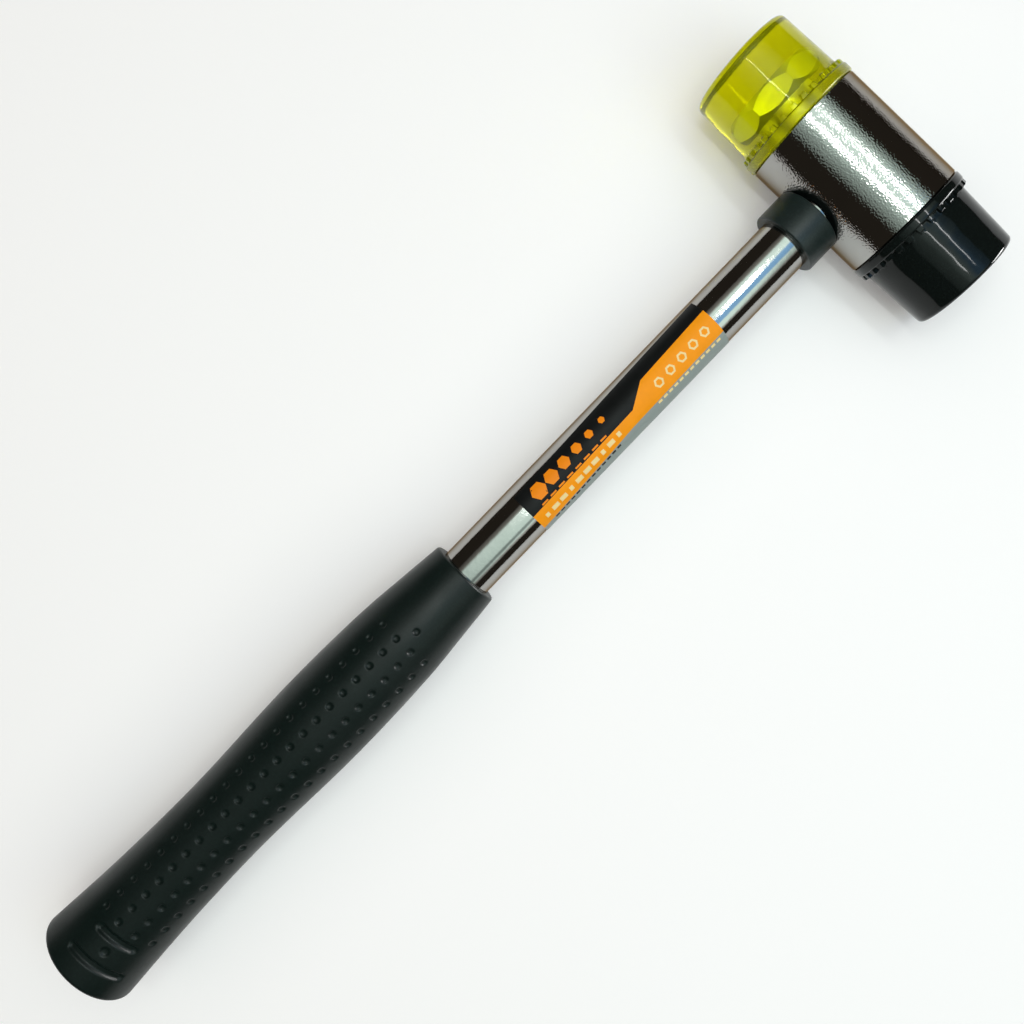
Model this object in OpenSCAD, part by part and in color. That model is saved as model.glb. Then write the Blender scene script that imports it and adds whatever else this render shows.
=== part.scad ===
// Soft face hammer: a steel barrel with a clear plastic face and a rubber face that screw in,
// on a tubular steel shaft with a moulded grip. It lies on its side: the shaft runs along +X from
// the flat butt end at the origin, the clear face looks along +Y and +Z is up.

/* [Head] */
// Distance from the butt end to the barrel's axis
head_reach = 292.3; // [260:0.1:330]
// Diameter of the steel barrel
barrel_d = 35; // [32:0.1:45]
// Length of the steel barrel
barrel_len = 37.7; // [36:0.1:60]
// Bevel at each end of the barrel
barrel_bevel = 0.4; // [0.2:0.1:1]
// Depth of the shaft's socket below the barrel's underside
socket_depth = 27; // [20:0.5:30]

/* [Clear face] */
// Length of the clear face in front of the barrel
clear_len = 23.6; // [20:0.1:40]
// How much wider its flange is than the barrel
clear_flange_over = 0.7; // [0:0.1:2]
// Length of its flange with the notched rim
clear_flange_len = 4.3; // [3.5:0.1:6]
// How much narrower its body is than the flange
clear_step = 3.4; // [2.4:0.1:5]
// How much narrower its striking end is than the body's root
clear_taper = 1; // [0:0.1:4]
// Rounding of its striking edge
clear_edge_r = 1.6; // [0.5:0.1:3]
// Length of the hollow flare that leads from the flange to the body
clear_flare = 2; // [1:0.1:3]

/* [Rubber face] */
// Length of the rubber face in front of the barrel
rubber_len = 22.8; // [20:0.1:40]
// How much wider its flange is than the barrel
rubber_flange_over = 0.4; // [0:0.1:2]
// Length of its flange with the notched rim
rubber_flange_len = 4; // [3.5:0.1:6]
// How much narrower its body is than the flange
rubber_step = 3.4; // [2.4:0.1:5]
// How much narrower its striking end is than the body's root
rubber_taper = 1.3; // [0:0.1:4]
// Rounding of its striking edge
rubber_edge_r = 1.2; // [0.5:0.1:3]
// Length of the hollow flare that leads from the flange to the body
rubber_flare = 1; // [0.5:0.1:3]

/* [Face details] */
// Teeth around each flange's notched rim
rim_teeth = 30; // [12:1:60]
// Width of one tooth
rim_tooth_w = 1.6; // [0.8:0.1:2]
// Axial length of one tooth
rim_tooth_len = 1.4; // [0.5:0.1:2]
// How far the teeth stand below the flange's rim
rim_tooth_drop = 0.35; // [0.1:0.05:0.8]
// Rounding of the flange's two rims
flange_edge_r = 0.6; // [0.2:0.1:1]

/* [Bolts] */
// Thread diameter of the bolt that is moulded into each face
bolt_d = 12; // [10:0.5:14]
// Thread pitch
bolt_pitch = 1.75; // [1.25:0.25:2]
// Width across the flats of the bolt's head
bolt_flats = 18; // [16:0.5:22]
// Height of the bolt's head
bolt_head_h = 7; // [5:0.1:8]
// Distance from a face's seat to its bolt's head
bolt_seat = 6.4; // [3:0.1:8]
// Steel between a bolt's tip and the shaft
bolt_tip_wall = 1.75; // [1.2:0.05:5]
// Play between the bolt's thread and the barrel's thread
thread_play = 0.15; // [0.1:0.01:0.25]
// Outer diameter of the lock washer under each face
washer_d = 21; // [18:0.1:24]
// Thickness of the lock washer
washer_t = 2.5; // [1.5:0.1:3]
// Width of the slit in the lock washer
washer_slit = 1.5; // [0.5:0.1:3]
// Play around the lock washer
washer_play = 0.3; // [0.2:0.05:0.5]

/* [Shaft] */
// Outer diameter of the shaft tube
tube_d = 15; // [12:0.1:18]
// Wall of the shaft tube
tube_wall = 1.2; // [0.8:0.1:2]
// Length of the plug that spreads the tube inside the barrel
expander_len = 20; // [10:0.5:26]
// Length of the bung in the tube's lower end
bung_len = 12; // [6:0.5:20]
// Thickness of the bung's rim that covers the tube's end
bung_rim = 1.5; // [1:0.1:3]
// Outer diameter of the collar under the barrel
collar_d = 19.4; // [17:0.1:24]
// Length of the collar
collar_len = 9.8; // [5:0.1:15]
// Rounding of the collar's edges
collar_edge_r = 0.5; // [0.3:0.1:1]
// How far the collar reaches past the barrel's underside, on both sides of the barrel
collar_rise = 0.6; // [0:0.1:1.5]
// Gap between the collar's hollowed end and the barrel
collar_gap = 0.1; // [0.05:0.05:0.5]

/* [Label] */
// Length of the label
label_len = 69.5; // [40:0.5:80]
// Thickness of the label
label_t = 0.12; // [0.08:0.01:0.3]
// Part of the tube's circumference that the label wraps, in degrees
label_wrap = 300; // [180:5:350]

/* [Grip] */
// Length of the grip
grip_len = 143.7; // [120:0.1:150]
// Diameter at the butt end
grip_butt_d = 28.6; // [26:0.05:34]
// Diameter at the heel, between the butt and the waist
grip_heel_d = 25.55; // [24:0.05:30]
// Diameter at the waist
grip_waist_d = 24.2; // [22:0.05:28]
// Diameter at the belly
grip_belly_d = 26.3; // [23:0.05:32]
// Diameter at the shoulder, above the belly
grip_shoulder_d = 24.85; // [22:0.05:30]
// Diameter at the neck, below the mouth
grip_neck_d = 22.5; // [20:0.05:27]
// Diameter at the mouth
grip_mouth_d = 20; // [19:0.05:24]
// Rounding of the butt's edge
grip_butt_r = 1.2; // [0.5:0.1:4]
// Rounding of the mouth's edge
grip_mouth_r = 0.7; // [0.3:0.1:1.2]
// Lean of the grip's body to the clear face's side, in degrees
grip_lean = 0.35; // [0:0.05:0.6]
// Wall that closes the butt end
grip_end_wall = 6; // [4:0.5:10]
// Columns of dimples on each of the grip's two sides
dimple_columns = 4; // [1:1:6]
// Angle between columns of dimples, in degrees
dimple_column_angle = 24.4; // [15:0.1:28]
// Distance from the butt end to the first row of dimples
dimple_start = 19.6; // [18.5:0.1:30]
// Distance between rows of dimples
dimple_pitch = 4.8; // [4:0.1:5]
// Least bare length between the last full row of dimples and the mouth
dimple_end = 21; // [15:0.5:40]
// Diameter of a dimple
dimple_d = 2.2; // [1:0.1:2.6]
// Depth of a dimple
dimple_depth = 0.4; // [0.2:0.05:0.6]
// Width of the two grooves near the butt
groove_w = 2.6; // [1.5:0.1:3]
// Depth of the two grooves
groove_depth = 0.7; // [0.3:0.05:0.9]
// Distance from the butt end to the lower groove
groove_start = 7.3; // [6:0.1:7.5]
// Distance between the two grooves
groove_pitch = 8.3; // [7:0.1:8.5]
// Diameter of the hollow between the grooves
hollow_d = 2.8; // [2:0.1:3]
// Depth of the hollow
hollow_depth = 0.5; // [0.3:0.05:0.8]

/* [Hidden] */

$fn = 96;

// Gap between pieces that are driven, glued or shrunk together
fixed_gap = 0.02;
// Overrun of every cut past the face that it opens
overrun = 1;

barrel_r = barrel_d / 2;
tube_r = tube_d / 2;
tube_bore_r = tube_r - tube_wall;
underside_x = head_reach - barrel_r;
tube_start = grip_end_wall + bung_rim;
tube_end = underside_x + socket_depth - fixed_gap;

// Faces: diameters of their flanges, of their bodies next to the flanges and of their striking ends
clear_flange_d = barrel_d + clear_flange_over;
clear_root_d = clear_flange_d - clear_step;
clear_end_d = clear_root_d - clear_taper;
rubber_flange_d = barrel_d + rubber_flange_over;
rubber_root_d = rubber_flange_d - rubber_step;
rubber_end_d = rubber_root_d - rubber_taper;

// Bolt: heights are counted from the face's seat, upwards to the striking end
bolt_out = barrel_len / 2 - tube_r - bolt_tip_wall;
bolt_corners_d = bolt_flats / cos(30);
// Bevels of its head: they start inside the flats, take a share of the height at the corners and run on
bolt_bevel_start_share = 0.95;
bolt_bevel_share = 0.33;
bolt_bevel_r = bolt_flats / 2 * bolt_bevel_start_share;
bolt_rim_r = bolt_corners_d / 2 + overrun / 2;
bolt_bevel_slope = bolt_head_h * bolt_bevel_share / (bolt_corners_d / 2 - bolt_bevel_r);
bolt_rim_drop = (bolt_rim_r - bolt_bevel_r) * bolt_bevel_slope;
// Turns of the bolts' heads about their axes: a flat of the clear face's bolt looks up and back
clear_bolt_turn = -22;
rubber_bolt_turn = 0;

// Thread: depth of the profile as a share of the pitch, and the shares of a pitch at which the
// profile reaches its crest, leaves it and reaches its root again
thread_depth_share = 0.6134;
thread_shares = [0.375, 0.5, 0.875];
thread_steps = 24;
thread_crest_r = bolt_d / 2 - fixed_gap;
thread_root_r = bolt_d / 2 - bolt_pitch * thread_depth_share;
thread_turns = ceil(bolt_out / bolt_pitch) + 1;
tip_bevel = bolt_pitch * thread_depth_share;
hole_rest_share = 0.3;
hole_depth = bolt_out + bolt_pitch * hole_rest_share;
drill_ease = thread_play / 2;

// Flare of a face: how much of the flange's step it takes, and the steps of its curve
flare_share = 0.5;
flare_steps = 5;

// Label: its place along the bare shaft between the grip and the collar
collar_start = underside_x + collar_rise - collar_len;
label_place_share = 0.4447;
label_start = grip_len + label_place_share * (collar_start - grip_len - label_len);

// Grip stations, as shares of its length
heel_share = 0.167;
waist_share = 0.355;
belly_share = 0.633;
shoulder_share = 0.821;
neck_share = 0.912;

// Angles about the shaft are counted from +Z towards -Y; the grip's marks lie about one line
marks_angle = 8;
dimple_sides = [0, 180];
dimple_rows = floor((grip_len - dimple_start - dimple_end) / dimple_pitch) + 1;
// Width of a dimple's or groove's floor, as a share of its mouth
floor_share = 0.5;
// Grooves: half the angle that each one spans, its turn about the shaft and the slant of both
groove_half_angles = [37, 28];
groove_turns = [1.5, 0];
groove_slant = 4;
hollow_share = 0.55;
lean_share = 0.61;
label_first_angle = -50;

// Points of an arc in the plane of a turned outline
function arc(centre, r, a0, a1, steps = 6) = [
    for (i = [0 : steps])
        let (a = a0 + (a1 - a0) * i / steps)
        centre + r * [cos(a), sin(a)]
];

// Slope of a smooth curve at station i of a list of [x, d]
function slope(list, i) =
    let (last = len(list) - 1)
    i == 0 ? rise(list, 0)
    : i == last ? rise(list, last - 1)
    : rise(list, i - 1) * rise(list, i) <= 0 ? 0
    : (rise(list, i - 1) + rise(list, i)) / 2;

function rise(list, i) = (list[i + 1][1] - list[i][1]) / (list[i + 1][0] - list[i][0]);

// Index of the stretch of a list of [x, d] that holds x
function stretch(list, x, i = 0) =
    i >= len(list) - 2 || x < list[i + 1][0] ? i : stretch(list, x, i + 1);

// Smooth curve through a list of [x, d]
function smooth(list, x) =
    let (
        i = stretch(list, x),
        span = list[i + 1][0] - list[i][0],
        t = (x - list[i][0]) / span,
        a = list[i][1],
        b = list[i + 1][1],
        p = slope(list, i) * span,
        q = slope(list, i + 1) * span
    )
    a + p * t + (3 * (b - a) - 2 * p - q) * t * t + (p + q - 2 * (b - a)) * t * t * t;

grip_stations = [
    [0, grip_butt_d],
    [heel_share * grip_len, grip_heel_d],
    [waist_share * grip_len, grip_waist_d],
    [belly_share * grip_len, grip_belly_d],
    [shoulder_share * grip_len, grip_shoulder_d],
    [neck_share * grip_len, grip_neck_d],
    [grip_len, grip_mouth_d]
];

// Radius of the grip at a distance from its butt end
function grip_r(x) = smooth(grip_stations, x) / 2;

// Angle of a column of dimples about the shaft
function dimple_angle(column) =
    marks_angle + (column - (dimple_columns - 1) / 2) * dimple_column_angle;

// Turns a child drawn along +Z so that it runs along +X
module along_shaft(x = 0) {
    translate([x, 0, 0])
        rotate([90, 0, 90])
            children();
}

// Places a child drawn along +Z on the barrel's clear end
module at_clear_end() {
    translate([head_reach, barrel_len / 2, 0])
        rotate([-90, 0, 0])
            children();
}

// Places a child drawn along +Z on the barrel's rubber end
module at_rubber_end() {
    translate([head_reach, -barrel_len / 2, 0])
        rotate([90, 0, 0])
            children();
}

// Ring drawn along +Z with rounded outer edges
module rounded_ring(outer_d, inner_d, length, edge_r) {
    rotate_extrude()
        polygon(concat(
            [[inner_d / 2, 0]],
            arc([outer_d / 2 - edge_r, edge_r], edge_r, -90, 0),
            arc([outer_d / 2 - edge_r, length - edge_r], edge_r, 0, 90),
            [[inner_d / 2, length]]
        ));
}

// Right-hand thread as one helical sheet that climbs a pitch a turn from angle 0 and height start,
// closed by a cone and a step at each end
module thread(crest_r, root_r, start, turns) {
    knots = [
        [root_r, 0],
        [crest_r, thread_shares[0]],
        [crest_r, thread_shares[1]],
        [root_r, thread_shares[2]]
    ];
    last = turns * thread_steps;
    function spot(r, i, share) =
        let (a = 360 * i / thread_steps)
        [r * cos(a), r * sin(a), start + bolt_pitch * (i / thread_steps + share)];
    root_line = [for (i = [0 : last + thread_steps]) spot(root_r, i, 0)];
    other_lines = [
        for (k = [1 : len(knots) - 1], i = [0 : last])
            spot(knots[k][0], i, knots[k][1])
    ];
    foot = len(root_line) + len(other_lines);
    top = foot + 1;
    axis_ends = [[0, 0, start], [0, 0, start + bolt_pitch * (turns + 1)]];
    // Number of the point on knot line k at step i; the next turn's root line closes the profile
    function at(i, k) =
        k == 0 ? i
        : k == len(knots) ? i + thread_steps
        : len(root_line) + (k - 1) * (last + 1) + i;
    sides = [
        for (i = [0 : last - 1], k = [0 : len(knots) - 1], half = [0, 1])
            half == 0
                ? [at(i, k), at(i, k + 1), at(i + 1, k)]
                : [at(i + 1, k), at(i, k + 1), at(i + 1, k + 1)]
    ];
    foot_cone = [for (i = [0 : thread_steps - 1]) [foot, i, i + 1]];
    top_cone = [for (i = [last : last + thread_steps - 1]) [top, i + 1, i]];
    foot_step = [concat([foot], [for (k = [len(knots) : -1 : 0]) at(0, k)])];
    top_step = [concat([top], [for (k = [0 : len(knots)]) at(last, k)])];
    polyhedron(
        concat(root_line, other_lines, axis_ends),
        concat(sides, foot_cone, top_cone, foot_step, top_step)
    );
}

// Part of a thread that lies between two heights, widened by a play
module trimmed_thread(low, high, play) {
    intersection() {
        thread(thread_crest_r + play, thread_root_r + play, -thread_turns * bolt_pitch, thread_turns);
        translate([0, 0, low])
            cylinder(r = bolt_d, h = high - low);
    }
}

// Six-sided bolt head above the seat, bevelled on both rims
module bolt_head() {
    translate([0, 0, bolt_seat])
        intersection() {
            cylinder(d = bolt_corners_d, h = bolt_head_h, $fn = 6);
            rotate_extrude()
                polygon([
                    [0, 0],
                    [bolt_bevel_r, 0],
                    [bolt_rim_r, bolt_rim_drop],
                    [bolt_rim_r, bolt_head_h - bolt_rim_drop],
                    [bolt_bevel_r, bolt_head_h],
                    [0, bolt_head_h]
                ]);
        }
}

// Bolt that is moulded into a face, with its thread below the seat
module face_bolt(head_turn) {
    rotate([0, 0, head_turn])
        bolt_head();
    cylinder(d = bolt_d, h = bolt_seat + fixed_gap);
    intersection() {
        trimmed_thread(-bolt_out, bolt_seat / 2, 0);
        rotate_extrude()
            polygon([
                [0, -bolt_out],
                [bolt_d / 2 - tip_bevel, -bolt_out],
                [bolt_d / 2 + overrun, -bolt_out + tip_bevel + overrun],
                [bolt_d / 2 + overrun, bolt_seat],
                [0, bolt_seat]
            ]);
    }
}

// Room that the bolt takes inside a face
module bolt_room() {
    bolt_head();
    translate([0, 0, -overrun])
        cylinder(d = bolt_d, h = bolt_seat + overrun + fixed_gap);
}

// Screw-in face above the seat: flange, notched rim, hollow flare and a tapering body
module face(length, flange_d, flange_len, root_d, end_d, edge_r, flare) {
    ring_len = flange_len - rim_tooth_len;
    flange_r = flange_d / 2;
    root_r = root_d / 2;
    flare_rise = (flange_r - flange_edge_r - root_r) * flare_share;
    flare_len = rim_tooth_len + flare;
    rotate_extrude()
        polygon(concat(
            [[0, 0]],
            arc([flange_r - flange_edge_r, flange_edge_r], flange_edge_r, -90, 0),
            arc([flange_r - flange_edge_r, ring_len - flange_edge_r], flange_edge_r, 0, 90),
            [
                for (i = [0 : flare_steps])
                    let (a = 90 * i / flare_steps)
                    [root_r + flare_rise * (1 - sin(a)), ring_len + flare_len * (1 - cos(a))]
            ],
            arc([end_d / 2 - edge_r, length - edge_r], edge_r, 0, 90),
            [[0, length]]
        ));
    intersection() {
        translate([0, 0, ring_len - flange_edge_r])
            rounded_ring(flange_d - 2 * rim_tooth_drop, root_d - 2 * rim_tooth_w,
                rim_tooth_len + flange_edge_r, rim_tooth_drop);
        for (i = [0 : rim_teeth - 1])
            rotate([0, 0, 360 * i / rim_teeth])
                translate([0, -rim_tooth_w / 2, 0])
                    cube([flange_d, rim_tooth_w, flange_len + overrun]);
    }
}

// Split washer below the seat
module lock_washer() {
    slit_angle = 2 * asin(washer_slit / washer_d);
    translate([0, 0, -washer_t])
        rotate_extrude(angle = 360 - slit_angle)
            translate([bolt_d / 2 + washer_play, 0])
                square([(washer_d - bolt_d) / 2 - washer_play, washer_t]);
}

// Threaded hole and washer recess below the seat
module face_socket() {
    trimmed_thread(-hole_depth, overrun, thread_play);
    translate([0, 0, -hole_depth])
        cylinder(r = thread_root_r + thread_play + drill_ease, h = hole_depth + overrun);
    translate([0, 0, -washer_t])
        cylinder(d = washer_d + 2 * washer_play, h = washer_t + overrun);
}

module head_barrel() {
    color("silver")
        difference() {
            translate([head_reach, -barrel_len / 2, 0])
                rotate([-90, 0, 0])
                    rotate_extrude()
                        polygon([
                            [0, 0],
                            [barrel_r - barrel_bevel, 0],
                            [barrel_r, barrel_bevel],
                            [barrel_r, barrel_len - barrel_bevel],
                            [barrel_r - barrel_bevel, barrel_len],
                            [0, barrel_len]
                        ]);
            along_shaft(underside_x - overrun)
                cylinder(r = tube_r + fixed_gap, h = socket_depth + overrun);
            at_clear_end()
                face_socket();
            at_rubber_end()
                face_socket();
        }
}

module clear_face() {
    color("YellowGreen", 0.6)
        at_clear_end()
            difference() {
                face(clear_len, clear_flange_d, clear_flange_len, clear_root_d, clear_end_d,
                    clear_edge_r, clear_flare);
                rotate([0, 0, clear_bolt_turn])
                    bolt_room();
            }
}

module clear_face_bolt() {
    color("LightSteelBlue")
        at_clear_end()
            face_bolt(clear_bolt_turn);
}

module clear_lock_washer() {
    color("DimGray")
        at_clear_end()
            lock_washer();
}

module rubber_face() {
    color("Black")
        at_rubber_end()
            difference() {
                face(rubber_len, rubber_flange_d, rubber_flange_len, rubber_root_d, rubber_end_d,
                    rubber_edge_r, rubber_flare);
                rotate([0, 0, rubber_bolt_turn])
                    bolt_room();
            }
}

module rubber_face_bolt() {
    color("LightSteelBlue")
        at_rubber_end()
            face_bolt(rubber_bolt_turn);
}

module rubber_lock_washer() {
    color("DimGray")
        at_rubber_end()
            lock_washer();
}

module shaft_tube() {
    color("silver")
        along_shaft(tube_start)
            difference() {
                cylinder(r = tube_r, h = tube_end - tube_start);
                translate([0, 0, -overrun])
                    cylinder(r = tube_bore_r, h = tube_end - tube_start + 2 * overrun);
            }
}

// Plug with a tapered nose, driven into the tube's upper end
module shaft_expander() {
    nose = tube_wall;
    r = tube_bore_r - fixed_gap;
    color("gray")
        along_shaft(tube_end - expander_len)
            rotate_extrude()
                polygon([
                    [0, 0],
                    [r - nose, 0],
                    [r, 2 * nose],
                    [r, expander_len],
                    [0, expander_len]
                ]);
}

// Bung with a rim that covers the tube's lower end
module shaft_end_bung() {
    nose = tube_wall;
    r = tube_bore_r - fixed_gap;
    color("DarkSlateGray")
        along_shaft(grip_end_wall)
            rotate_extrude()
                polygon([
                    [0, 0],
                    [tube_r, 0],
                    [tube_r, bung_rim],
                    [r, bung_rim],
                    [r, bung_rim + bung_len - nose],
                    [r - nose, bung_rim + bung_len],
                    [0, bung_rim + bung_len]
                ]);
}

// Ring on the shaft whose upper end is hollowed to fit around the barrel
module shaft_collar() {
    color([0.09, 0.1, 0.11])
        difference() {
            along_shaft(collar_start)
                rounded_ring(collar_d, tube_d + 2 * fixed_gap, collar_len, collar_edge_r);
            translate([head_reach, collar_d, 0])
                rotate([90, 0, 0])
                    cylinder(r = barrel_r + collar_gap, h = 2 * collar_d);
        }
}

module shaft_label() {
    color("DarkOrange")
        along_shaft(label_start)
            rotate([0, 0, 90 + label_first_angle])
                rotate_extrude(angle = label_wrap)
                    translate([tube_r + fixed_gap, 0])
                        square([label_t, label_len]);
}

// Room of a dimple in the grip at distance x and an angle about the shaft, d wide at the surface
module dimple_room(x, angle, d, depth) {
    rotate([angle, 0, 0])
        translate([x, 0, grip_r(x) - depth])
            cylinder(d1 = d * floor_share, d2 = d * (2 - floor_share), h = 2 * depth);
}

// Room of a slanted groove that runs part of the way around the grip
module groove_room(x, angle, half_angle) {
    bed = groove_w * floor_share / 2;
    brim = groove_w * (2 - floor_share) / 2;
    low = grip_r(x) - groove_depth;
    high = grip_r(x) + groove_depth;
    translate([x, 0, 0])
        rotate([0, 0, groove_slant])
            along_shaft()
                rotate([0, 0, 90 + angle - half_angle])
                    rotate_extrude(angle = 2 * half_angle)
                        polygon([
                            [low, -bed],
                            [high, -brim],
                            [high, brim],
                            [low, bed]
                        ]);
}

// Leans a child about a point of the shaft, so that its lower end moves to the clear face's side
module leaning() {
    pivot = [lean_share * head_reach, 0, 0];
    translate(pivot)
        rotate([0, 0, -grip_lean])
            translate(-pivot)
                children();
}

// Turned body of the grip: its outline turns half-way between a row of dimples and the next gap
module grip_body() {
    first = grip_butt_r;
    last = grip_len - grip_mouth_r;
    ring = dimple_pitch / 2;
    ring_start = dimple_start - ring / 2;
    along_shaft()
        rotate_extrude()
            polygon(concat(
                [[0, 0]],
                arc([grip_r(first) - grip_butt_r, first], grip_butt_r, -90, 0),
                [
                    for (i = [floor((first - ring_start) / ring) + 1 : ceil((last - ring_start) / ring) - 1])
                        let (x = ring_start + i * ring)
                        [grip_r(x), x]
                ],
                arc([grip_r(last) - grip_mouth_r, last], grip_mouth_r, 0, 90),
                [[0, grip_len]]
            ));
}

module grip_marks() {
    for (side = dimple_sides) {
        for (column = [0 : dimple_columns - 1], row = [0 : dimple_rows - 1])
            dimple_room(dimple_start + row * dimple_pitch, side + dimple_angle(column),
                dimple_d, dimple_depth);
        dimple_room(dimple_start + dimple_rows * dimple_pitch, side + marks_angle,
            dimple_d, dimple_depth);
    }
    for (i = [0, 1])
        groove_room(groove_start + i * groove_pitch, marks_angle + groove_turns[i],
            groove_half_angles[i]);
    dimple_room(groove_start + hollow_share * groove_pitch, marks_angle, hollow_d, hollow_depth);
}

module hand_grip() {
    color([0.08, 0.1, 0.1])
        difference() {
            leaning()
                difference() {
                    grip_body();
                    grip_marks();
                }
            along_shaft(grip_end_wall)
                cylinder(r = tube_r + fixed_gap, h = grip_len);
        }
}

head_barrel();
clear_face();
clear_face_bolt();
clear_lock_washer();
rubber_face();
rubber_face_bolt();
rubber_lock_washer();
shaft_tube();
shaft_expander();
shaft_end_bung();
shaft_collar();
shaft_label();
hand_grip();
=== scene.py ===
# Looks of a soft face hammer that lies on its side: the shaft runs along +X from the butt end at the
# origin, the clear face looks along +Y and +Z is up. Lengths are in metres, and angles about an axis in
# degrees.
import math

import bmesh
import bpy
from mathutils import Matrix, Vector


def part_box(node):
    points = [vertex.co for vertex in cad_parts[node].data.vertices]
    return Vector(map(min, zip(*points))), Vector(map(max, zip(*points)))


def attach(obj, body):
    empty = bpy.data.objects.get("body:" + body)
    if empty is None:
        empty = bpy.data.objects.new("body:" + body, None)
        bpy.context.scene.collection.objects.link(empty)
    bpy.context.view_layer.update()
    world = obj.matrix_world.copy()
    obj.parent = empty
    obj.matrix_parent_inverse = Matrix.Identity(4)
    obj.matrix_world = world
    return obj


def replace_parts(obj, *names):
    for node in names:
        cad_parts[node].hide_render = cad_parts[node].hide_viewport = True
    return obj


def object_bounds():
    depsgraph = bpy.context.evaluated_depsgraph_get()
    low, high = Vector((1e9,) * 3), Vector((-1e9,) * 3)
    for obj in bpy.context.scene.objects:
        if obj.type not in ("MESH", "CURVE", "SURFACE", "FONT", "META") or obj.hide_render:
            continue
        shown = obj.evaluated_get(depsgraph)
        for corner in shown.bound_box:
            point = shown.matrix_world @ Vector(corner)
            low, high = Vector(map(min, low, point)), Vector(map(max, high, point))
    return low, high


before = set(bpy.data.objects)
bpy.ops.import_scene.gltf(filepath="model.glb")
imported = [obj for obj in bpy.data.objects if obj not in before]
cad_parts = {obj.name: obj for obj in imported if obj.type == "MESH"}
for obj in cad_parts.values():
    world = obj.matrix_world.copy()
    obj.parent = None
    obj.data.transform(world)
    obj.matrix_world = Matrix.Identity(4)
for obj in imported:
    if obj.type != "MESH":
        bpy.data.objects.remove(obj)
cad_low, cad_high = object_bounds()

MM = 0.001

# Places that the CAD parts give
barrel_low, barrel_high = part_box("head_barrel")
collar_low, collar_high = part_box("shaft_collar")
label_low, label_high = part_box("shaft_label")
tube_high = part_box("shaft_tube")[1]
HEAD_X = (barrel_low.x + barrel_high.x) / 2
BARREL_R = (barrel_high.x - barrel_low.x) / 2
TUBE_R = tube_high.z
LABEL_LEN = label_high.x - label_low.x
FLOOR_Z = cad_low.z

# Screw-in faces: the teeth on both flanges, then each face's flange, the body's two radii and the roundings
TEETH = 30
TOOTH_W = 1.6 * MM
TOOTH_LEN = 1.4 * MM
TOOTH_DROP = 0.35 * MM
TOOTH_FLANK = 0.18 * MM
FLANGE_EDGE = 0.6 * MM
FLARE_SHARE = 0.5
CLEAR_FACE = {
    "node": "clear_face",
    "side": 1,
    "flange_len": 4.3 * MM,
    "root_r": 16.15 * MM,
    "end_r": 15.65 * MM,
    "edge_r": 1.6 * MM,
    "flare": 2 * MM,
}
RUBBER_FACE = {
    "node": "rubber_face",
    "side": -1,
    "flange_len": 4 * MM,
    "root_r": 16 * MM,
    "end_r": 15.35 * MM,
    "edge_r": 1.2 * MM,
    "flare": 1 * MM,
}
# Where the clear face's frost starts to fade and where it has gone, from its seat
FROST_ENDS = (3.2 * MM, 5 * MM)

# Grip: radii at shares of its length, the roundings and the lean of its body about a point on the shaft
GRIP_LEN = 143.7 * MM
GRIP_STATIONS = [
    (0, 14.3 * MM),
    (0.167, 12.775 * MM),
    (0.355, 12.1 * MM),
    (0.633, 13.15 * MM),
    (0.821, 12.425 * MM),
    (0.912, 11.25 * MM),
    (1, 10 * MM),
]
GRIP_BUTT_R = 1.2 * MM
GRIP_MOUTH_R = 0.7 * MM
GRIP_END_WALL = 6 * MM
LEAN_ANGLE = math.radians(-0.35)
LEAN_SHARE = 0.61
LEAN_PIVOT = Matrix.Translation((LEAN_SHARE * HEAD_X, 0, 0))
LEAN = LEAN_PIVOT @ Matrix.Rotation(LEAN_ANGLE, 4, "Z") @ LEAN_PIVOT.inverted()

# Marks in the grip: columns of dimples on two sides, and two slanted grooves with a hollow between them
MARKS_ANGLE = 8
DIMPLE_SIDES = (0, 180)
DIMPLE_COLUMN_ANGLE = 24.4
DIMPLE_COLUMNS = [MARKS_ANGLE + DIMPLE_COLUMN_ANGLE * i for i in (-1.5, -0.5, 0.5, 1.5)]
DIMPLE_ROWS = 22
DIMPLE_START = 19.6 * MM
DIMPLE_PITCH = 4.8 * MM
DIMPLE_R = 1.1 * MM
DIMPLE_DEPTH = 0.4 * MM
GROOVE_START = 7.3 * MM
GROOVE_PITCH = 8.3 * MM
GROOVE_R = 1.3 * MM
GROOVE_DEPTH = 0.7 * MM
GROOVE_SLANT = math.sin(math.radians(4))
# Each groove as (distance from the butt end, first angle, last angle)
GROOVES = [
    (GROOVE_START, MARKS_ANGLE - 35.5, MARKS_ANGLE + 38.5),
    (GROOVE_START + GROOVE_PITCH, MARKS_ANGLE - 28, MARKS_ANGLE + 28),
]
GROOVES_END = GROOVE_START + GROOVE_PITCH + 2 * GROOVE_R
HOLLOW_SHARE = 0.55
HOLLOW_PLACE = GROOVE_START + HOLLOW_SHARE * GROOVE_PITCH
HOLLOW_R = 1.4 * MM
HOLLOW_DEPTH = 0.5 * MM

# Grid of the grip: a mark's rim, its wall, the grid's lines about its middle and the room that other lines
# leave it, all as shares of its radius, then the steps over the grooves and elsewhere and the range of angles
MARK_RIM_SHARE = 1.06
MARK_WALL_SHARE = 0.62
MARK_LINE_SHARES = [0.42, 0.58, 0.75, 0.92, MARK_RIM_SHARE]
MARK_ROOM_SHARE = 1.2
GROOVES_STEPS = 64
GRIP_STEP = 0.7 * MM
GRIP_ANGLE_STEP = 2
GRIP_ANGLES = (-90, 268)

# Inner radius of the collar, the label and the grip, which sit on the tube
FIXED_GAP = 0.02 * MM
SLEEVE_R = TUBE_R + FIXED_GAP

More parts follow.
